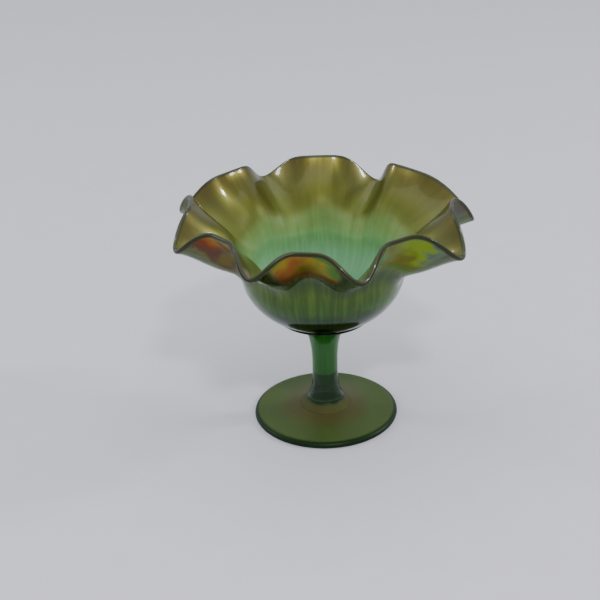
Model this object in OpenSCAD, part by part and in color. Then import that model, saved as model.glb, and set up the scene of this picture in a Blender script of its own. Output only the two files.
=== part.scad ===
// Footed bowl (a compote) of pressed green glass with a hand-crimped rim of eight ruffles.
//
// It stands on z = 0 with its axis on Z, and its front is towards -Y. From the bottom it is a
// round foot, a waisted stem, a thin dished merese and the bowl, each a gather of solid glass
// that is fused to the next one on a flat round seat.
//
// The bowl is a thin shell. Below the neck it is a plain cup. Above the neck the wall flares
// into a rim that runs from crests, which stand up steeply, to valleys, which reach further out
// and lie lower, and pull the neck down with them. Angles round the rim count from the front,
// towards +X.

/* [Foot] */
// Diameter of the round foot
foot_d = 72; // [60:1:88]
// Thickness of the foot where its top meets the rounded edge
foot_edge_t = 3; // [2.5:0.5:4]
// Width of the rounded edge
foot_edge_w = 3; // [2:0.5:4]
// Height of the foot's crown, which the stem stands on
foot_crown_h = 5.5; // [4.5:0.5:8]

/* [Stem] */
// Length of the stem, from the foot's crown to the merese
stem_h = 43.5; // [34:0.5:54]
// Diameter at the waist
stem_waist_d = 12.7; // [10:0.1:16]
// Height of the waist above the foot's crown
stem_waist_h = 18.5; // [14:0.5:24]
// Diameter where the stem stands on the foot
stem_base_d = 26; // [20:1:32]
// Diameter where the stem meets the merese
stem_top_d = 20; // [16:1:24]

/* [Merese] */
// Diameter of the dished disc under the bowl
merese_d = 46; // [38:0.5:56]
// Height of the disc, from the stem to the seat of the bowl
merese_h = 7; // [5:0.5:9]
// Thickness of its rounded edge
merese_edge_t = 0.8; // [0.6:0.1:1.6]
// How far the edge stands out past the bowl's seat
merese_step = 0.8; // [0.4:0.1:1.5]

/* [Cup] */
// Outside diameter of the cup at its belly
cup_d = 80; // [66:1:96]
// Height of the belly above the seat
belly_h = 25.5; // [20:0.5:31]
// Height of the neck above the seat at a crest, where the rim starts to flare
neck_h = 37; // [30.5:0.5:44.5]
// Wall of the upper cup and of the rim
wall = 2.2; // [1.8:0.1:2.7]
// Glass between the inside and the seat at the bottom of the cup
floor_t = 2; // [1.5:0.5:4]

/* [Rim] */
// Diameter through the crests of the ruffles
crest_d = 122; // [101:1:147]
// Height of the crests above the neck
crest_h = 21.5; // [17.5:0.5:26]
// Diameter through the valleys between the ruffles
valley_d = 143; // [119:1:172]
// Height of the valleys above the neck
valley_h = 8; // [6.5:0.5:10]
// Length of the soft bend on each side of the neck, along the wall
neck_bend = 7; // [5.5:0.5:8.5]

/* [Hidden] */
$fn = 96;

// Heights of the seats, from the table up
stem_z = foot_crown_h;
merese_z = stem_z + stem_h;
seat_z = merese_z + merese_h;
belly_z = seat_z + belly_h;
neck_z = seat_z + neck_h;

// The crimps were pressed one by one by hand, so they are not even. Each list goes round the
// rim from the crest nearest the front. The turns are in degrees from an even spacing of the
// ruffles, and the reaches and lifts are in millimetres from the radii and heights above. The
// drops say how far each valley pulls the neck down.
crest_turn = [-1, -4, -1, 10, 8, 7, 6, 4];
crest_reach = [-3, -1.5, 0.5, 0, 0.5, 2, 1, -0.5];
crest_lift = [-0.5, 1, 0.5, -1, -0.5, -1, 0.5, 0];
valley_turn = [-1, 1, -6, 4, 9, 6, 4, 2];
valley_reach = [-3, 1, 2.5, -3.5, 0, 3.5, 0.5, -1.5];
valley_lift = [2.5, -1, -2, -1, 1, -1.5, 1, 3.5];
neck_drop = [2.5, 7, 1, 3.5, 1.5, 5, 7, 3];
ruffles = len(crest_turn);
first_crest = -7;
ruffle_angle = 360 / ruffles;

// How sharply the rim leaves a crest for a valley, in its radius and in its height
reach_power = 1.75;
drop_power = 2.9;

// Slopes of the wall in degrees, where it leaves the neck and where it ends at the lip, and the
// lengths over which it holds them
crest_start_slope = 45;
crest_lip_slope = 56;
valley_start_slope = 5;
valley_lip_slope = 13;
start_hold = 14;
lip_hold = 10;

// Mesh steps: round one half ruffle, up the cup, round the neck bend, up the rim, over the lip
half_ruffle_steps = 6;
cup_steps = 9;
bend_steps = 4;
rim_steps = 9;
lip_steps = 4;
columns = 2 * ruffles * half_ruffle_steps;

function mix(a, b, t) = a + (b - a) * t;
function unit(v) = v / norm(v);

// ---- Turned pieces ----

// Radius of the stem at height h above the crown: one waisted curve, flaring both ways
stem_flare_power = 3.2;
stem_curve_steps = 24;
function stem_r(h) =
    let (end_r = h < stem_waist_h ? stem_base_d / 2 : stem_top_d / 2,
         run = h < stem_waist_h ? stem_waist_h : stem_h - stem_waist_h)
    mix(stem_waist_d / 2, end_r, pow(abs(h - stem_waist_h) / run, stem_flare_power));

// Top of the foot, sinking from the crown to the edge
crown_steps = 10;
crown_r = stem_base_d / 2;
edge_r = foot_d / 2 - foot_edge_w;
function foot_top(r) = mix(foot_edge_t, foot_crown_h, pow((edge_r - r) / (edge_r - crown_r), 2));

// Points of a quarter of an ellipse round c, from angle a to angle b
function arc(c, rx, ry, a, b, steps) =
    [for (i = [0:steps]) let (t = mix(a, b, i / steps)) c + [rx * cos(t), ry * sin(t)]];

foot_heel = 0.9;
arc_steps = 8;
module foot() {
    color([0.33, 0.4, 0.2])
    rotate_extrude()
    polygon(concat(
        [[0, 0]],
        arc([foot_d / 2 - foot_heel, foot_heel], foot_heel, foot_heel, -90, 0, arc_steps),
        arc([edge_r, foot_heel], foot_edge_w, foot_edge_t - foot_heel, 0, 90, arc_steps),
        [for (i = [1:crown_steps]) let (r = mix(edge_r, crown_r, i / crown_steps)) [r, foot_top(r)]],
        [[0, foot_crown_h]]));
}

module stem() {
    color([0.2, 0.42, 0.22])
    translate([0, 0, stem_z])
    rotate_extrude()
    polygon(concat(
        [[0, 0]],
        [for (i = [0:stem_curve_steps]) let (h = stem_h * i / stem_curve_steps) [stem_r(h), h]],
        [[0, stem_h]]));
}

merese_edge_r = merese_edge_t / 2;
module merese() {
    color([0.12, 0.26, 0.14])
    translate([0, 0, merese_z])
    rotate_extrude()
    polygon(concat(
        [[0, 0], [stem_top_d / 2, 0]],
        arc([merese_d / 2 - merese_edge_r, merese_h - merese_edge_r],
            merese_edge_r, merese_edge_r, -60, 90, arc_steps),
        [[0, merese_h]]));
}

// ---- Bowl ----

cup_r = cup_d / 2;
seat_r = merese_d / 2 - merese_step;
cup_out_h = belly_h / sqrt(1 - pow(seat_r / cup_r, 2));
inner_r = cup_r - wall;
inner_drop = belly_h - floor_t;
floor_power = 2.4;

// Outside radius of the cup at height z: an ellipse that stands on the seat, and straight above
// the belly
function cup_out_r(z) = cup_r * sqrt(1 - pow(max(0, belly_z - z) / cup_out_h, 2));
// Inside radius: the same above the belly, and below it a rounder curve down to the floor
function cup_in_r(z) =
    inner_r * pow(1 - pow(max(0, belly_z - z) / inner_drop, floor_power), 1 / floor_power);

// Crests and valleys in turn: [angle, radius, height] of knot k on the middle of the lip
function knot(k) =
    let (i = floor(k / 2) % ruffles,
         lap = 360 * floor(k / (2 * ruffles)),
         even = first_crest + ruffle_angle * i + lap)
    k % 2 == 0
        ? [even + crest_turn[i], crest_d / 2 + crest_reach[i], neck_z + crest_h + crest_lift[i]]
        : [even + ruffle_angle / 2 + valley_turn[i], valley_d / 2 + valley_reach[i],
           neck_z + valley_h + valley_lift[i]];

// Column c round the rim: [angle, lip radius, lip height, neck height, fall]. The fall goes from
// 0 at a crest to 1 at a valley.
function column(c) =
    let (k = floor(c / half_ruffle_steps),
         t = c / half_ruffle_steps - k,
         s = (1 - cos(180 * t)) / 2,
         from = knot(k), to = knot(k + 1),
         crest = k % 2 == 0 ? from : to,
         valley = k % 2 == 0 ? to : from,
         fall = k % 2 == 0 ? s : 1 - s,
         drop = neck_drop[floor(k / 2) % ruffles])
    [mix(from[0], to[0], t),
     mix(crest[1], valley[1], pow(fall, reach_power)),
     mix(crest[2], valley[2], pow(fall, drop_power)),
     neck_z - drop * fall,
     fall];

function bezier3(p, t) =
    pow(1 - t, 3) * p[0] + 3 * t * pow(1 - t, 2) * p[1] + 3 * t * t * (1 - t) * p[2] + pow(t, 3) * p[3];
function bezier2(p, t) = pow(1 - t, 2) * p[0] + 2 * t * (1 - t) * p[1] + t * t * p[2];

// Middle of the wall at the neck, and where the bend starts below it
function middle_point(z) = [cup_out_r(z) - wall / 2, z];

// The rim's wall over one column, as a curve in the plane of the axis
function rim_curve(col) =
    let (start = mix(crest_start_slope, valley_start_slope, col[4]),
         end = mix(crest_lip_slope, valley_lip_slope, pow(col[4], drop_power)),
         neck = middle_point(col[3]),
         lip = [col[1], col[2]])
    [neck, neck + start_hold * [cos(start), sin(start)],
     lip - lip_hold * [cos(end), sin(end)], lip];

// How much of the rim curve the neck bend takes up
bend_share = neck_bend / (3 * start_hold);

// Middle of the wall above the cup at row v: 0 to bend_steps is the bend, and the rest the rim
function wall_2d(col, v) =
    let (curve = rim_curve(col))
    v <= bend_steps
        ? bezier2([middle_point(col[3] - neck_bend), curve[0], bezier3(curve, bend_share)],
                  v / bend_steps)
        : bezier3(curve, mix(bend_share, 1, (v - bend_steps) / rim_steps));

function place(p, angle) = [p[0] * sin(angle), -p[0] * cos(angle), p[1]];
function wall_3d(c, v) = let (col = column(c + columns)) place(wall_2d(col, v), col[0]);

// Out of the wall, and along it towards the lip
last_row = bend_steps + rim_steps;
nudge = 0.02;
function round_way(c, v) = wall_3d(c + nudge, v) - wall_3d(c - nudge, v);
function up_way(c, v) = wall_3d(c, min(v + nudge, last_row)) - wall_3d(c, max(v - nudge, 0));
function out_way(c, v) = unit(cross(round_way(c, v), up_way(c, v)));
function lip_way(c) = unit(cross(out_way(c, last_row), round_way(c, last_row)));

// One ring of points for each row, from the seat up the outside, over the lip and down inside.
// The rows of the cup crowd together where it curves in towards its floor.
floor_z = belly_z - inner_drop;
function out_ring(i) =
    [for (c = [0:columns - 1])
        let (col = column(c + columns),
             z = mix(seat_z, col[3] - neck_bend, 1 - cos(90 * i / cup_steps)))
        place([cup_out_r(z), z], col[0])];
function in_ring(i) =
    [for (c = [0:columns - 1])
        let (col = column(c + columns),
             z = mix(col[3] - neck_bend, floor_z, sin(90 * i / (cup_steps + 1))))
        place([cup_in_r(z), z], col[0])];
function wall_ring(v, side) =
    [for (c = [0:columns - 1]) wall_3d(c, v) + side * wall / 2 * out_way(c, v)];
function lip_ring(a) =
    [for (c = [0:columns - 1])
        wall_3d(c, last_row) + wall / 2 * (cos(a) * out_way(c, last_row) + sin(a) * lip_way(c))];

rings = concat(
    [for (i = [0:cup_steps - 1]) out_ring(i)],
    [for (v = [0:last_row]) wall_ring(v, 1)],
    [for (i = [1:lip_steps - 1]) lip_ring(180 * i / lip_steps)],
    [for (v = [last_row:-1:0]) wall_ring(v, -1)],
    [for (i = [1:cup_steps]) in_ring(i)]);

// A closed skin over the rings, with a flat fan under the seat and one over the floor
module ring_skin(rings, bottom, top) {
    n = len(rings[0]);
    last = len(rings) - 1;
    points = concat([for (ring = rings) each ring], [bottom, top]);
    under = len(points) - 2;
    over = len(points) - 1;
    function at(ring, c) = ring * n + c % n;
    faces = concat(
        [for (c = [0:n - 1]) [under, at(0, c + 1), at(0, c)]],
        [for (k = [0:last - 1], c = [0:n - 1]) each [
            [at(k, c), at(k, c + 1), at(k + 1, c + 1)],
            [at(k, c), at(k + 1, c + 1), at(k + 1, c)]]],
        [for (c = [0:n - 1]) [over, at(last, c), at(last, c + 1)]]);
    polyhedron([for (p = points) p], [for (f = faces) [f[0], f[2], f[1]]]);
}

module bowl() {
    color([0.47, 0.48, 0.2])
    ring_skin(rings, [0, 0, seat_z], [0, 0, floor_z]);
}

foot();
stem();
merese();
bowl();
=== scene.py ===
"""A footed carnival glass bowl: the looks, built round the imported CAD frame.

Metres, +Z up, the front towards -Y. Each CAD node is replaced by a finer mesh of nearly the same
shape, rounded a little more at the neck, and a glass material that carries the sprayed-on
iridescent film. Angles round the rim count from the front, towards +X, as in the design.
"""

import math

import bpy
import numpy as np
from mathutils import Matrix, Vector


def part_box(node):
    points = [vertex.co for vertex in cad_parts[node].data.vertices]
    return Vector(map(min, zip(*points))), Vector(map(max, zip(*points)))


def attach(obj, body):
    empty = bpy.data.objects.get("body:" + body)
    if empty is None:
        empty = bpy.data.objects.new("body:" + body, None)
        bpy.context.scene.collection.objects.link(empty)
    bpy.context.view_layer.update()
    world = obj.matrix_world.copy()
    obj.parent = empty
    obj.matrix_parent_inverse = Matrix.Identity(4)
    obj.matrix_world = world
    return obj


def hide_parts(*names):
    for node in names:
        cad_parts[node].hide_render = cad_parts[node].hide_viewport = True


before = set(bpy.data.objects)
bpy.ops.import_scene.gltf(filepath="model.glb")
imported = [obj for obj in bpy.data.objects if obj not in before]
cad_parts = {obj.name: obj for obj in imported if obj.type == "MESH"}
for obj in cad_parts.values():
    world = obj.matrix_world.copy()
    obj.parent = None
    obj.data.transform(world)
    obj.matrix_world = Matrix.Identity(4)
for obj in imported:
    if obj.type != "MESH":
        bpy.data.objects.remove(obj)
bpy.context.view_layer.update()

MM = 0.001
TURN = 2 * math.pi


# ---- Sizes: the frame gives the levels and three radii, and the rest repeat the design's values ----

FOOT_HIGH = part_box("foot")[1]
STEM_LOW, STEM_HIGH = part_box("stem")
MERESE_LOW, MERESE_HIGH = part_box("merese")
BOWL_LOW, BOWL_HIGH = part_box("bowl")

foot_r = FOOT_HIGH.x
foot_crown = FOOT_HIGH.z
foot_edge_t = 3 * MM
foot_edge_w = 3 * MM
foot_heel = 0.9 * MM

stem_base_r = STEM_HIGH.x
stem_top_r = 10 * MM
stem_waist_r = 6.35 * MM
stem_waist_h = 18.5 * MM
stem_flare_power = 3.2

merese_r = MERESE_HIGH.x
merese_edge_r = 0.4 * MM
merese_step = 0.8 * MM

seat_z = BOWL_LOW.z
seat_r = merese_r - merese_step
cup_r = 40 * MM
belly_z = seat_z + 25.5 * MM
neck_z = seat_z + 37 * MM
neck_bend = 7 * MM
wall = 2.2 * MM
floor_z = seat_z + 2 * MM
floor_power = 2.4

crest_r = 61 * MM
crest_h = 21.5 * MM
valley_r = 71.5 * MM
valley_h = 8 * MM

# The crimps one by one, from the crest nearest the front: turns in degrees, the rest in mm. They
# were fitted by a program to the outline of the lip in the photo, and rounded for the design
CREST_TURN = [-1, -4, -1, 10, 8, 7, 6, 4]
CREST_REACH = [-3, -1.5, 0.5, 0, 0.5, 2, 1, -0.5]
CREST_LIFT = [-0.5, 1, 0.5, -1, -0.5, -1, 0.5, 0]
VALLEY_TURN = [-1, 1, -6, 4, 9, 6, 4, 2]
VALLEY_REACH = [-3, 1, 2.5, -3.5, 0, 3.5, 0.5, -1.5]
VALLEY_LIFT = [2.5, -1, -2, -1, 1, -1.5, 1, 3.5]
NECK_DROP = [2.5, 7, 1, 3.5, 1.5, 5, 7, 3]
RUFFLES = len(CREST_TURN)
FIRST_CREST = -7

REACH_POWER = 1.75
DROP_POWER = 2.9
CREST_START_SLOPE, CREST_LIP_SLOPE = 45, 56
VALLEY_START_SLOPE, VALLEY_LIP_SLOPE = 5, 13
START_HOLD = 14 * MM
LIP_HOLD = 10 * MM

# A lower piece reaches this far into the next, so that no film of air lies between them
FUSE = 0.03 * MM


# ---- Mesh tools ----

def mix(a, b, t):
    return a + (b - a) * t


def unit(v):
    return v / np.linalg.norm(v, axis=-1, keepdims=True)


WAY_STRETCH = 0.14
ON_THE_AXIS = 1e-9
SHARP_ANGLE = math.radians(50)


def way_up(points, along):
    """Where each point is round the axis and along the wall: streaks in it run up the wall."""
    flat = points[:, :2]
    turn = flat / np.maximum(np.linalg.norm(flat, axis=1, keepdims=True), ON_THE_AXIS)
    return np.column_stack([turn, WAY_STRETCH * np.asarray(along)])


def make_piece(name, points, faces, face_material, attributes, materials):
    """A smooth mesh that rides on the root body, with the attributes that its material reads."""
    mesh = bpy.data.meshes.new(name)
    mesh.from_pydata([tuple(p) for p in points], [], faces)
    mesh.update()
    mesh.polygons.foreach_set("use_smooth", [True] * len(mesh.polygons))
    mesh.polygons.foreach_set("material_index", face_material)
    for attribute, values in attributes.items():
        values = np.asarray(values, np.float32)
        kind, field = ("FLOAT", "value") if values.ndim == 1 else ("FLOAT_VECTOR", "vector")
        mesh.attributes.new(attribute, kind, "POINT").data.foreach_set(field, values.ravel())
    mesh.set_sharp_from_angle(angle=SHARP_ANGLE)
    for material in materials:
        mesh.materials.append(material)
    piece = bpy.data.objects.new(name, mesh)
    bpy.context.scene.collection.objects.link(piece)
    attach(piece, "root")
    return piece


def ring_faces(rings, columns):
    """Quads between the rings, and a fan at each end: two last points are the poles."""
    faces = []
    low_pole = rings * columns
    high_pole = low_pole + 1
    for c in range(columns):
        faces.append((low_pole, (c + 1) % columns, c))
    for k in range(rings - 1):
        for c in range(columns):
            n = (c + 1) % columns
            faces.append((k * columns + c, k * columns + n, (k + 1) * columns + n, (k + 1) * columns + c))
    last = (rings - 1) * columns
    for c in range(columns):
        faces.append((high_pole, last + c, last + (c + 1) % columns))
    return faces


def ring_materials(rings, columns, slot_of_band):
    """The material slot of each face that ring_faces makes; band 0 is the low fan."""
    slots = []
    for band in range(rings + 1):
        slots += [slot_of_band(band)] * columns
    return slots


# ---- Turned pieces ----

LATHE_COLUMNS = 256
HEEL_STEPS, EDGE_STEPS, CROWN_STEPS = 8, 16, 39
STEM_STEPS = 79
CONE_STEPS, RIM_EDGE_STEPS = 11, 12

# Each seat has a narrow ring of its own at its edge
SEAT_RING = 1 * MM


def arc(centre, rx, ry, start, end, steps):
    """Points of an ellipse's arc in the plane of radius and height, angles in degrees."""
    angles = np.radians(np.linspace(start, end, steps + 1))
    return [(centre[0] + rx * math.cos(a), centre[1] + ry * math.sin(a)) for a in angles]


def lathe(name, profile, fused_low, fused_high, materials):
    """Turns a profile of (radius, height) points, which starts and ends on the axis.

    Its first fused_low bands and last fused_high bands are seats, of the second material."""
    inner = profile[1:-1]
    angles = np.arange(LATHE_COLUMNS) * TURN / LATHE_COLUMNS
    rings = np.array([[(r * math.sin(a), -r * math.cos(a), z) for a in angles] for r, z in inner])
    flat = rings.reshape(-1, 3)
    points = np.vstack([flat, [(0, 0, profile[0][1]), (0, 0, profile[-1][1])]])
    count = len(inner)
    along = np.append(np.repeat(np.linspace(0, 1, count), LATHE_COLUMNS), [0, 1])
    slots = ring_materials(
        count, LATHE_COLUMNS, lambda band: int(band < fused_low or band > count - fused_high))
    return make_piece(name, points, ring_faces(count, LATHE_COLUMNS), slots,
                      {"way": way_up(points, along)}, materials)


def foot_profile():
    """Flat underside, a rounded edge, and a top that rises slowly to the stem."""
    edge_r = foot_r - foot_edge_w
    top = []
    for r in np.linspace(edge_r, stem_base_r, CROWN_STEPS + 1)[1:]:
        rise = ((edge_r - r) / (edge_r - stem_base_r)) ** 2
        top.append((r, mix(foot_edge_t, foot_crown, rise)))
    return (
        [(0, 0), (stem_base_r, 0), (foot_r - 3 * foot_heel, 0)]
        + arc((foot_r - foot_heel, foot_heel), foot_heel, foot_heel, -90, 0, HEEL_STEPS)
        + arc((edge_r, foot_heel), foot_edge_w, foot_edge_t - foot_heel, 0, 90, EDGE_STEPS)[1:]
        + top
        + [(stem_base_r - SEAT_RING, foot_crown), (0, foot_crown)])


def stem_profile():
    """A waisted curve between the foot's crown and the merese, sunk into both by FUSE."""
    height = STEM_HIGH.z - STEM_LOW.z
    side = []
    for h in np.linspace(0, height, STEM_STEPS + 1):
        below = h < stem_waist_h
        end_r = stem_base_r if below else stem_top_r
        run = stem_waist_h if below else height - stem_waist_h
        flare = (abs(h - stem_waist_h) / run) ** stem_flare_power
        side.append((mix(stem_waist_r, end_r, flare), STEM_LOW.z + h))
    low, high = STEM_LOW.z - FUSE, STEM_HIGH.z + FUSE
    return (
        [(0, low), (stem_base_r - SEAT_RING, low), (stem_base_r, low)]
        + side
        + [(stem_top_r, high), (stem_top_r - SEAT_RING, high), (0, high)])


def merese_profile():
    """A dished disc: a cone out to a thin rounded edge, and a flat top under the bowl."""
    edge = arc((merese_r - merese_edge_r, MERESE_HIGH.z - merese_edge_r),
               merese_edge_r, merese_edge_r, -60, 90, RIM_EDGE_STEPS)
    start = (stem_top_r, MERESE_LOW.z)
    cone = [(mix(start[0], edge[0][0], t), mix(start[1], edge[0][1], t))
            for t in np.linspace(0, 1, CONE_STEPS + 1)]
    return (
        [(0, MERESE_LOW.z), (stem_top_r - SEAT_RING, MERESE_LOW.z)]
        + cone[:-1] + edge
        + [(seat_r, MERESE_HIGH.z), (seat_r - SEAT_RING, MERESE_HIGH.z + FUSE), (0, MERESE_HIGH.z + FUSE)])


# ---- The bowl ----

HALF_RUFFLE_STEPS = 32
COLUMNS = 2 * RUFFLES * HALF_RUFFLE_STEPS
CUP_STEPS, BEND_STEPS, RIM_STEPS, LIP_STEPS = 26, 10, 40, 12
LAST_ROW = BEND_STEPS + RIM_STEPS

cup_out_h = (belly_z - seat_z) / math.sqrt(1 - (seat_r / cup_r) ** 2)
inner_r = cup_r - wall
inner_drop = belly_z - floor_z


def cup_out_r(z):
    """Outside radius of the cup: an ellipse that stands on the seat, and straight above the belly."""
    return cup_r * np.sqrt(1 - np.clip((belly_z - z) / cup_out_h, 0, 1) ** 2)


def cup_in_r(z):
    """Inside radius: the same above the belly, and below it a rounder curve down to the floor."""
    down = np.clip((belly_z - z) / inner_drop, 0, 1)
    return inner_r * (1 - down ** floor_power) ** (1 / floor_power)


def knot(k):
    """(angle, radius, height) of the lip at crests, where k is even, and valleys in turn."""
    i = (k // 2) % RUFFLES
    lap = 360 * (k // (2 * RUFFLES))
    even = FIRST_CREST + 360 / RUFFLES * i + lap
    if k % 2 == 0:
        return np.array([even + CREST_TURN[i], crest_r + CREST_REACH[i] * MM,
                         neck_z + crest_h + CREST_LIFT[i] * MM])
    return np.array([even + 180 / RUFFLES + VALLEY_TURN[i], valley_r + VALLEY_REACH[i] * MM,
                     neck_z + valley_h + VALLEY_LIFT[i] * MM])


def column(c):
    """(angle, lip radius, lip height, neck height, fall) of column c, 0 at the first crest.

    The fall goes from 0 at a crest to 1 at a valley."""
    k = math.floor(c / HALF_RUFFLE_STEPS)
    t = c / HALF_RUFFLE_STEPS - k
    s = (1 - math.cos(math.pi * t)) / 2
    start, end = knot(k), knot(k + 1)
    crest, valley = (start, end) if k % 2 == 0 else (end, start)
    fall = s if k % 2 == 0 else 1 - s
    drop = NECK_DROP[(k // 2) % RUFFLES] * MM
    return (math.radians(mix(start[0], end[0], t)), mix(crest[1], valley[1], fall ** REACH_POWER),
            mix(crest[2], valley[2], fall ** DROP_POWER), neck_z - drop * fall, fall)


def bezier3(p, t):
    return ((1 - t) ** 3 * p[0] + 3 * t * (1 - t) ** 2 * p[1]
            + 3 * t * t * (1 - t) * p[2] + t ** 3 * p[3])


def bezier2(p, t):
    return (1 - t) ** 2 * p[0] + 2 * t * (1 - t) * p[1] + t * t * p[2]


BEND_SHARE = neck_bend / (3 * START_HOLD)


def wall_middle(columns):
    """Points on the middle of the wall above the cup, as an array [row, column, xyz]."""
    grid = np.zeros((LAST_ROW + 1, COLUMNS, 3))
    for c, (angle, lip_r, lip_z, neck, fall) in enumerate(columns):
        curl = fall ** DROP_POWER
        start = math.radians(mix(CREST_START_SLOPE, VALLEY_START_SLOPE, fall))
        end = math.radians(mix(CREST_LIP_SLOPE, VALLEY_LIP_SLOPE, curl))
        lip = np.array([lip_r, lip_z])
        neck_point = np.array([cup_out_r(neck) - wall / 2, neck])
        bend_z = neck - neck_bend
        bend_point = np.array([cup_out_r(bend_z) - wall / 2, bend_z])
        curve = [neck_point, neck_point + START_HOLD * np.array([math.cos(start), math.sin(start)]),
                 lip - LIP_HOLD * np.array([math.cos(end), math.sin(end)]), lip]
        bend = [bend_point, neck_point, bezier3(curve, BEND_SHARE)]
        for v in range(LAST_ROW + 1):
            if v <= BEND_STEPS:
                r, z = bezier2(bend, v / BEND_STEPS)
            else:
                r, z = bezier3(curve, mix(BEND_SHARE, 1, (v - BEND_STEPS) / RIM_STEPS))
            grid[v, c] = (r * math.sin(angle), -r * math.cos(angle), z)
    return grid


# How many passes ease each side of the neck, and where it lies up the wall
OUTSIDE_EASE, INSIDE_EASE = 45, 90
NECK_AT, NECK_REACH = 0.57, 0.13


def ease_neck(rings, height, passes):
    """Rounds the neck up and down the wall, more on the inside, as hot glass draws it."""
    rings, height = np.array(rings), np.array(height)
    eased = rings.copy()
    for _ in range(passes):
        eased[1:-1] = (eased[:-2] + 2 * eased[1:-1] + eased[2:]) / 4
    share = np.exp(-((height - NECK_AT) / NECK_REACH) ** 2)[:, None, None]
    return list(mix(rings, eased, share))


def bowl_rings():
    """Rings from the seat up the outside, over the lip and down the inside, with what each point is."""
    columns = [column(c) for c in range(COLUMNS)]
    middle = wall_middle(columns)
    angles = np.array([col[0] for col in columns])
    bend_z = np.array([col[3] for col in columns]) - neck_bend
    falls = np.array([col[4] for col in columns])
    round_way = np.roll(middle, -1, 1) - np.roll(middle, 1, 1)
    up_way = np.gradient(middle, axis=0)
    out_way = unit(np.cross(round_way, up_way))
    lip_way = unit(np.cross(out_way[-1], round_way[-1]))
    rings, inside, height = [], [], []

    def add(ring, side, up):
        rings.append(ring)
        inside.append(side)
        height.append(up)

    def cup_ring(r, z):
        return np.stack([r * np.sin(angles), -r * np.cos(angles), z], 1)

    for i in range(CUP_STEPS):
        up = 1 - math.cos(math.pi / 2 * i / CUP_STEPS)
        z = mix(seat_z, bend_z, up)
        add(cup_ring(cup_out_r(z), z), 0, up / 2)
    for v in range(LAST_ROW + 1):
        add(middle[v] + wall / 2 * out_way[v], 0, 0.5 + 0.5 * v / LAST_ROW)
    last_outside = len(rings)
    for i in range(1, LIP_STEPS):
        a = math.pi * i / LIP_STEPS
        add(middle[-1] + wall / 2 * (math.cos(a) * out_way[-1] + math.sin(a) * lip_way), i / LIP_STEPS, 1)
    first_inside = len(rings)
    for v in range(LAST_ROW, -1, -1):
        add(middle[v] - wall / 2 * out_way[v], 1, 0.5 + 0.5 * v / LAST_ROW)
    for i in range(1, CUP_STEPS + 1):
        down = math.sin(math.pi / 2 * i / (CUP_STEPS + 1))
        z = mix(bend_z, floor_z, down)
        add(cup_ring(cup_in_r(z), z), 1, (1 - down) / 2)
    rings[:last_outside] = ease_neck(rings[:last_outside], height[:last_outside], OUTSIDE_EASE)
    rings[first_inside:] = ease_neck(rings[first_inside:], height[first_inside:], INSIDE_EASE)
    return np.array(rings), np.array(inside, float), np.array(height), falls


def draw_in(points, height):
    """Draws the rim in by the hair that its finer curve stands out of the design's box."""
    low, high = points.min(0), points.max(0)
    fit = min(BOWL_LOW.x / low[0], BOWL_HIGH.x / high[0], BOWL_LOW.y / low[1], BOWL_HIGH.y / high[1], 1)
    points[:, :2] *= mix(1, fit, height ** 2)[:, None]
    points[:, 2] = np.minimum(points[:, 2], BOWL_HIGH.z)
    return points


def make_bowl(materials):
    rings, inside, height, falls = bowl_rings()
    count = len(rings)
    points = np.vstack([rings.reshape(-1, 3), [(0, 0, seat_z), (0, 0, floor_z)]])
    heights = np.append(np.repeat(height, COLUMNS), [0, 0])
    points = draw_in(points, heights)
    sides = np.append(np.repeat(inside, COLUMNS), [0, 1])
    fall = np.append(np.tile(falls, count), [0, 0])
    return make_piece(
        "carnival_bowl", points, ring_faces(count, COLUMNS),
        ring_materials(count, COLUMNS, lambda band: 1 if band == 0 else 0),
        {"inside": sides, "height": heights, "fall": fall, "way": way_up(points, heights)}, materials)


# ---- Materials ----

GLASS_IOR = 1.5
ABSORB_COLOUR = (0.0, 0.42, 0.0)
ABSORB_DENSITY = 200.0
DULL = 0.2

# The colour sockets of a Mix node, which share their names with its other kinds
MIX_A, MIX_B, MIX_RESULT = 6, 7, 2


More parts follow.
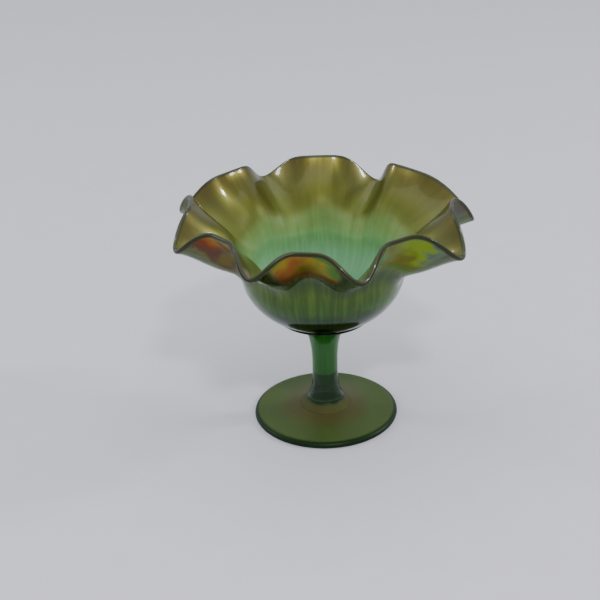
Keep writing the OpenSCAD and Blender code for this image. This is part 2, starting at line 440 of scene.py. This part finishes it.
class Look:
    """One Principled material, and the node maths that drives it."""

    def __init__(self, name, clear=1.0):
        self.material = bpy.data.materials.new(name)
        self.material.use_nodes = True
        self.tree = self.material.node_tree
        self.tree.nodes.clear()
        self.output = self.tree.nodes.new("ShaderNodeOutputMaterial")
        self.shader = self.tree.nodes.new("ShaderNodeBsdfPrincipled")
        self.tree.links.new(self.shader.outputs["BSDF"], self.output.inputs["Surface"])
        self.give("Transmission Weight", clear)
        self.give("IOR", GLASS_IOR)

    def plug(self, socket, value):
        if isinstance(value, bpy.types.NodeSocket):
            self.tree.links.new(value, socket)
        elif isinstance(value, tuple) and len(value) == 3 and socket.type == "RGBA":
            socket.default_value = (*value, 1)
        else:
            socket.default_value = value

    def give(self, socket, value):
        self.plug(self.shader.inputs[socket], value)

    def add_node(self, kind, **settings):
        node = self.tree.nodes.new(kind)
        for setting, value in settings.items():
            setattr(node, setting, value)
        return node

    def attribute(self, name, output="Fac"):
        return self.add_node("ShaderNodeAttribute", attribute_name=name).outputs[output]

    def place(self):
        return self.add_node("ShaderNodeTexCoord").outputs["Object"]

    def axis(self, name):
        parts = self.add_node("ShaderNodeSeparateXYZ")
        self.plug(parts.inputs["Vector"], self.place())
        return parts.outputs[name]

    def radius(self):
        flat = self.add_node("ShaderNodeVectorMath", operation="MULTIPLY")
        self.plug(flat.inputs[0], self.place())
        flat.inputs[1].default_value = (1, 1, 0)
        length = self.add_node("ShaderNodeVectorMath", operation="LENGTH")
        self.plug(length.inputs[0], flat.outputs["Vector"])
        return length.outputs["Value"]

    def math(self, operation, a, b=0.0):
        node = self.add_node("ShaderNodeMath", operation=operation)
        self.plug(node.inputs[0], a)
        self.plug(node.inputs[1], b)
        return node.outputs["Value"]

    def lift(self, value, scale, offset):
        return self.math("ADD", self.math("MULTIPLY", value, scale), offset)

    def step(self, value, low, high, start=0.0, end=1.0):
        """Goes smoothly from start to end as the value goes from low to high."""
        node = self.add_node("ShaderNodeMapRange", interpolation_type="SMOOTHSTEP")
        for socket, number in (("Value", value), ("From Min", low), ("From Max", high),
                               ("To Min", start), ("To Max", end)):
            self.plug(node.inputs[socket], number)
        return node.outputs["Result"]

    def noise(self, vector, scale, detail=2.0, distortion=0.0):
        node = self.add_node("ShaderNodeTexNoise")
        for socket, value in (("Vector", vector), ("Scale", scale), ("Detail", detail),
                              ("Distortion", distortion)):
            self.plug(node.inputs[socket], value)
        return node.outputs["Fac"]

    def ramp(self, value, stops):
        """Colours along the value, as (position, colour) pairs."""
        node = self.add_node("ShaderNodeValToRGB")
        node.color_ramp.interpolation = "EASE"
        elements = node.color_ramp.elements
        while len(elements) < len(stops):
            elements.new(1)
        for element, (position, colour) in zip(elements, stops):
            element.position = position
            element.color = (*colour, 1)
        self.plug(node.inputs["Fac"], value)
        return node.outputs["Color"]

    def mix(self, factor, a, b, blend="MIX"):
        node = self.add_node("ShaderNodeMix", data_type="RGBA", blend_type=blend)
        self.plug(node.inputs["Factor"], factor)
        self.plug(node.inputs[MIX_A], a)
        self.plug(node.inputs[MIX_B], b)
        return node.outputs[MIX_RESULT]

    def blend(self, factor, a, b):
        """The same for plain values."""
        node = self.add_node("ShaderNodeMix", data_type="FLOAT")
        self.plug(node.inputs["Factor"], factor)
        self.plug(node.inputs["A"], a)
        self.plug(node.inputs["B"], b)
        return node.outputs["Result"]

    def bump(self, height, distance, strength=1.0):
        node = self.add_node("ShaderNodeBump")
        self.plug(node.inputs["Height"], height)
        self.plug(node.inputs["Distance"], distance)
        self.plug(node.inputs["Strength"], strength)
        self.give("Normal", node.outputs["Normal"])

    def dull(self, tint):
        """Old iridised glass reflects less than a fresh polish, and a little of its own colour."""
        self.give("Specular IOR Level", DULL)
        self.give("Specular Tint", tint)

    def absorb(self, colour=ABSORB_COLOUR, density=ABSORB_DENSITY):
        volume = self.add_node("ShaderNodeVolumeAbsorption")
        self.plug(volume.inputs["Color"], colour)
        self.plug(volume.inputs["Density"], density)
        self.tree.links.new(volume.outputs["Volume"], self.output.inputs["Volume"])


def fused_glass():
    """The seats where two gathers are fused: nothing shows there."""
    look = Look("fused_glass")
    look.give("Base Color", (1.0, 1.0, 1.0))
    look.give("IOR", 1.0)
    look.give("Roughness", 0.0)
    look.absorb()
    return look.material


# The film inside, from the middle of the cup to the lip
INSIDE_FILM = [
    (0.00, (0.12, 0.31, 0.17)), (0.24, (0.17, 0.39, 0.21)), (0.47, (0.17, 0.36, 0.15)),
    (0.55, (0.16, 0.26, 0.08)), (0.61, (0.14, 0.15, 0.018)), (0.84, (0.12, 0.112, 0.009)),
    (0.98, (0.12, 0.095, 0.006)),
]
# The film outside on the cup, from the seat to the neck, with painted shade: near black at the seat and
# darker again just under the overhanging flare
CUP_FILM_AND_SHADE = [
    (0.00, (0.004, 0.018, 0.004)), (0.10, (0.012, 0.06, 0.02)), (0.22, (0.06, 0.18, 0.06)),
    (0.34, (0.38, 0.52, 0.11)), (0.47, (0.58, 0.60, 0.10)), (0.56, (0.22, 0.26, 0.03)),
]
# The film outside under the ruffles, where it was sprayed thicker from one side to the other
RUFFLE_FILM = [
    (0.00, (0.12, 0.11, 0.07)), (0.07, (0.17, 0.12, 0.03)), (0.14, (0.12, 0.05, 0.045)),
    (0.22, (0.20, 0.045, 0.015)), (0.32, (0.34, 0.095, 0.015)), (0.43, (0.38, 0.26, 0.015)),
    (0.54, (0.08, 0.23, 0.025)), (0.66, (0.16, 0.15, 0.01)), (0.78, (0.22, 0.33, 0.015)),
    (0.88, (0.09, 0.15, 0.16)), (1.00, (0.12, 0.10, 0.08)),
]
SPRAY_WIDTH = 0.14
FLARE_COLOUR = (0.30, 0.38, 0.18)
# The lip is painted near black olive: painted shade for the dark look that refraction gives the thick
# glass lip
LIP_SHADE = (0.035, 0.038, 0.005)
STREAK_DARK, STREAK_LIGHT = (0.66, 0.7, 0.66), (1.25, 1.22, 1.1)
FAINT_DARK, FAINT_LIGHT = (0.92, 0.93, 0.9), (1.06, 1.07, 1.03)
BOWL_SHEEN = (0.62, 0.75, 0.55)
SOLID_SHEEN = (0.5, 0.75, 0.5)


def outside_film(look, height, level, cloud, streaks, pocket):
    """Streaked film on the cup, with painted shade at its seat and under the flare, and bands of sprayed
    colour in the pockets under the ruffles.
    """
    spray = look.lift(look.axis("X"), 1 / SPRAY_WIDTH, 0.5)
    phase = look.math("ADD", spray, look.lift(cloud, 0.9, -0.47))
    ruffle = look.ramp(look.math("ADD", phase, look.lift(height, 0.6, -0.48)), RUFFLE_FILM)
    bare = look.mix(look.step(level, 0.55, 0.65), look.ramp(level, CUP_FILM_AND_SHADE), FLARE_COLOUR)
    streaked = look.mix(streaks, STREAK_DARK, STREAK_LIGHT)
    return look.mix(pocket, look.mix(1.0, bare, streaked, "MULTIPLY"), ruffle)


def inside_film(look, level, streaks):
    """Green in the cup, and olive gold up the wall, with faint streaks."""
    faint = look.mix(streaks, FAINT_DARK, FAINT_LIGHT)
    return look.mix(1.0, look.ramp(level, INSIDE_FILM), faint, "MULTIPLY")


def bowl_gloss(look, inside, height, fall, level, streak, pocket, lip):
    """How metallic, clear, rough and coated the bowl's film is."""
    flare = look.step(level, 0.38, 0.66)
    gold = look.math("MULTIPLY", look.step(level, 0.52, 0.78), look.lift(fall, -0.3, 0.52))
    metal = look.blend(inside, look.blend(pocket, 0.06, 0.75), gold)
    look.give("Metallic", look.blend(lip, metal, 0.0))
    clear = look.blend(inside, 1.0, look.blend(flare, 0.2, 0.55))
    look.give("Transmission Weight", look.blend(lip, clear, 0.5))
    satin = look.blend(inside, look.blend(pocket, 0.12, 0.3), look.step(height, 0.6, 0.8, 0.45, 0.33))
    look.give("Roughness", look.math("ADD", satin, look.lift(streak, 0.12, -0.06)))
    gloss = look.math("MULTIPLY", inside, look.step(height, 0.66, 0.82, 0.0, 0.5))
    look.give("Coat Weight", gloss)
    look.give("Coat Roughness", 0.08)


def bowl_glass():
    look = Look("bowl_glass")
    inside = look.step(look.attribute("inside"), 0.35, 0.65)
    height = look.attribute("height")
    fall = look.attribute("fall")
    cloud = look.noise(look.place(), 34.0, 3.0, 0.6)
    streak = look.noise(look.attribute("way", "Vector"), 22.0, 4.0, 0.2)
    level = look.math("ADD", height, look.lift(cloud, 0.12, -0.06))
    pocket = look.math("MULTIPLY", look.step(level, 0.56, 0.66), look.step(fall, 1.0, 0.7))
    plain = look.step(height, 0.22, 0.04)
    streaks = look.blend(plain, look.step(streak, 0.38, 0.66), 0.5)
    lip = look.step(height, 0.985, 1.0)
    film = look.mix(inside, outside_film(look, height, level, cloud, streaks, pocket),
                    inside_film(look, level, streaks))
    # Painted shade: the lip is painted near black olive
    look.give("Base Color", look.mix(lip, film, LIP_SHADE))
    bowl_gloss(look, inside, height, fall, level, streak, pocket, lip)
    look.dull(BOWL_SHEEN)
    look.bump(look.math("ADD", streak, cloud), 0.2 * MM, 0.5)
    look.absorb()
    return look.material


MERESE_DARK, MERESE_LIGHT = (0.08, 0.22, 0.08), (0.16, 0.32, 0.1)


def merese_glass():
    look = Look("merese_glass")
    cloud = look.noise(look.place(), 120.0, 3.0)
    look.give("Base Color", look.mix(cloud, MERESE_DARK, MERESE_LIGHT))
    look.give("Metallic", 0.04)
    look.give("Roughness", look.lift(cloud, 0.12, 0.06))
    look.dull(SOLID_SHEEN)
    look.bump(cloud, 0.2 * MM, 0.4)
    look.absorb()
    return look.material


# The stem is clear down to its flare, which darkens there with painted shadow and then takes the foot's
# bloom, painted darker than on the foot as shade
STEM_DARK, STEM_LIGHT = (0.13, 0.33, 0.11), (0.3, 0.56, 0.22)
FLARE_SHADOW = (0.01, 0.03, 0.008)
FLARE_BLOOM_AND_SHADE = (0.064, 0.061, 0.018)


def stem_glass():
    look = Look("stem_glass")
    cloud = look.noise(look.place(), 90.0, 3.0)
    streak = look.noise(look.attribute("way", "Vector"), 5.0, 3.0, 0.3)
    reach = look.math("ADD", look.radius(), look.lift(cloud, 2 * MM, -1 * MM))
    low = look.step(look.math("SUBTRACT", reach, look.axis("Z")), -3 * MM, 2.5 * MM)
    clear = look.mix(look.step(streak, 0.3, 0.7), STEM_DARK, STEM_LIGHT)
    # Towards the foot the flare is painted dark as shadow, then takes the bloom, painted darker than the
    # foot's as shade
    dark = look.mix(look.step(low, 0.0, 0.3), clear, FLARE_SHADOW)
    look.give("Base Color", look.mix(look.step(low, 0.5, 1.0), dark, FLARE_BLOOM_AND_SHADE))
    look.give("Metallic", look.blend(low, 0.03, 0.0))
    look.give("Transmission Weight", look.blend(low, 1.0, 0.1))
    look.give("Roughness", look.math("ADD", look.blend(low, 0.09, 0.6), look.lift(cloud, 0.1, -0.05)))
    look.dull(SOLID_SHEEN)
    look.bump(look.math("ADD", streak, cloud), 0.2 * MM, look.blend(low, 0.5, 0.1))
    look.absorb()
    return look.material


FOOT_BLOOM = (0.088, 0.08, 0.024)
MOSS_DARK, MOSS_LIGHT = (0.05, 0.09, 0.02), (0.09, 0.125, 0.03)
EDGE_COLOUR = (0.002, 0.014, 0.002)


def foot_glass():
    look = Look("foot_glass", 0.3)
    cloud = look.noise(look.place(), 70.0, 4.0, 0.8)
    grain = look.noise(look.place(), 900.0, 3.0)
    reach = look.math("ADD", look.radius(), look.lift(cloud, 8 * MM, -4 * MM))
    moss = look.mix(cloud, MOSS_DARK, MOSS_LIGHT)
    bloom = look.mix(look.step(reach, 15 * MM, 26 * MM), FOOT_BLOOM, moss)
    edge = look.step(look.radius(), 33.4 * MM, 35 * MM)
    look.give("Base Color", look.mix(edge, bloom, EDGE_COLOUR))
    look.give("Metallic", look.blend(edge, 0.1, 0.0))
    look.dull(SOLID_SHEEN)
    look.give("Roughness", look.math("ADD", look.lift(cloud, 0.16, 0.34), look.lift(grain, 0.1, -0.05)))
    look.bump(look.math("ADD", grain, cloud), 0.08 * MM, 0.5)
    look.absorb()
    return look.material


fused = fused_glass()
bowl = make_bowl([bowl_glass(), fused])
merese = lathe("glass_merese", merese_profile(), 2, 2, [merese_glass(), fused])
stem = lathe("glass_stem", stem_profile(), 3, 4, [stem_glass(), fused])
foot = lathe("glass_foot", foot_profile(), 0, 2, [foot_glass(), fused])

for piece, cad_node in ((bowl, "bowl"), (merese, "merese"), (stem, "stem"), (foot, "foot")):
    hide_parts(cad_node)


# ---- Stage ----

TABLE_DARK, TABLE_LIGHT = (0.60, 0.59, 0.64), (0.64, 0.63, 0.68)


def make_floor():
    look = Look("pale_table", 0.0)
    grain = look.noise(look.place(), 60.0, 3.0)
    look.give("Base Color", look.mix(grain, TABLE_DARK, TABLE_LIGHT))
    look.give("Roughness", look.lift(grain, 0.1, 0.55))
    half = 4.0
    drop = 0.1 * MM
    mesh = bpy.data.meshes.new("floor")
    corners = [(-half, -half, -drop), (half, -half, -drop), (half, half, -drop), (-half, half, -drop)]
    mesh.from_pydata(corners, [], [(0, 1, 2, 3)])
    mesh.materials.append(look.material)
    floor = bpy.data.objects.new("floor", mesh)
    bpy.context.scene.collection.objects.link(floor)


def make_world(colour, strength):
    world = bpy.data.worlds.new("studio")
    world.use_nodes = True
    background = world.node_tree.nodes["Background"]
    background.inputs["Color"].default_value = (*colour, 1)
    background.inputs["Strength"].default_value = strength
    bpy.context.scene.world = world


def area_light(name, place, aim, size, power, colour=(1, 1, 1)):
    data = bpy.data.lights.new(name, "AREA")
    data.shape = "RECTANGLE"
    data.size, data.size_y = size
    data.energy = power
    data.color = colour
    light = bpy.data.objects.new(name, data)
    light.location = place
    light.rotation_euler = (Vector(aim) - Vector(place)).to_track_quat("-Z", "Y").to_euler()
    bpy.context.scene.collection.objects.link(light)


def make_camera():
    """Stands in front of the table and above the rim, and looks down at the bowl.

    Its place, angles and lens are a fit to the photo, rounded."""
    distance, height = 0.6012, 0.3650
    yaw, pitch, roll = math.radians(-1.093), math.radians(26.65), math.radians(-1.844)
    data = bpy.data.cameras.new("camera")
    data.sensor_width = 36
    data.lens = 82.6
    data.clip_start, data.clip_end = 0.05, 20
    ahead = Vector((math.sin(yaw) * math.cos(pitch), math.cos(yaw) * math.cos(pitch), -math.sin(pitch)))
    right = Vector((math.cos(yaw), -math.sin(yaw), 0))
    up = right.cross(ahead)
    level = Matrix((right, up, -ahead)).transposed()
    camera = bpy.data.objects.new("camera", data)
    camera.matrix_world = (Matrix.Translation((0, -distance, height))
                           @ (level @ Matrix.Rotation(roll, 3, "Z")).to_4x4())
    bpy.context.scene.collection.objects.link(camera)
    bpy.context.scene.camera = camera


make_floor()
make_world((0.9, 0.93, 1.0), 0.8)
area_light("top_softbox", (-0.2, 0.1, 1.8), (0, 0, 0.05), (2.0, 2.0), 14)
area_light("high_window", (0.15, -0.75, 0.95), (0, 0, 0.08), (0.12, 0.08), 5)
area_light("right_window", (1.1, 0.15, 0.75), (0, 0, 0.08), (0.12, 0.22), 6)
area_light("left_window", (-1.1, 0.2, 0.7), (0, 0, 0.08), (0.12, 0.22), 3)
make_camera()
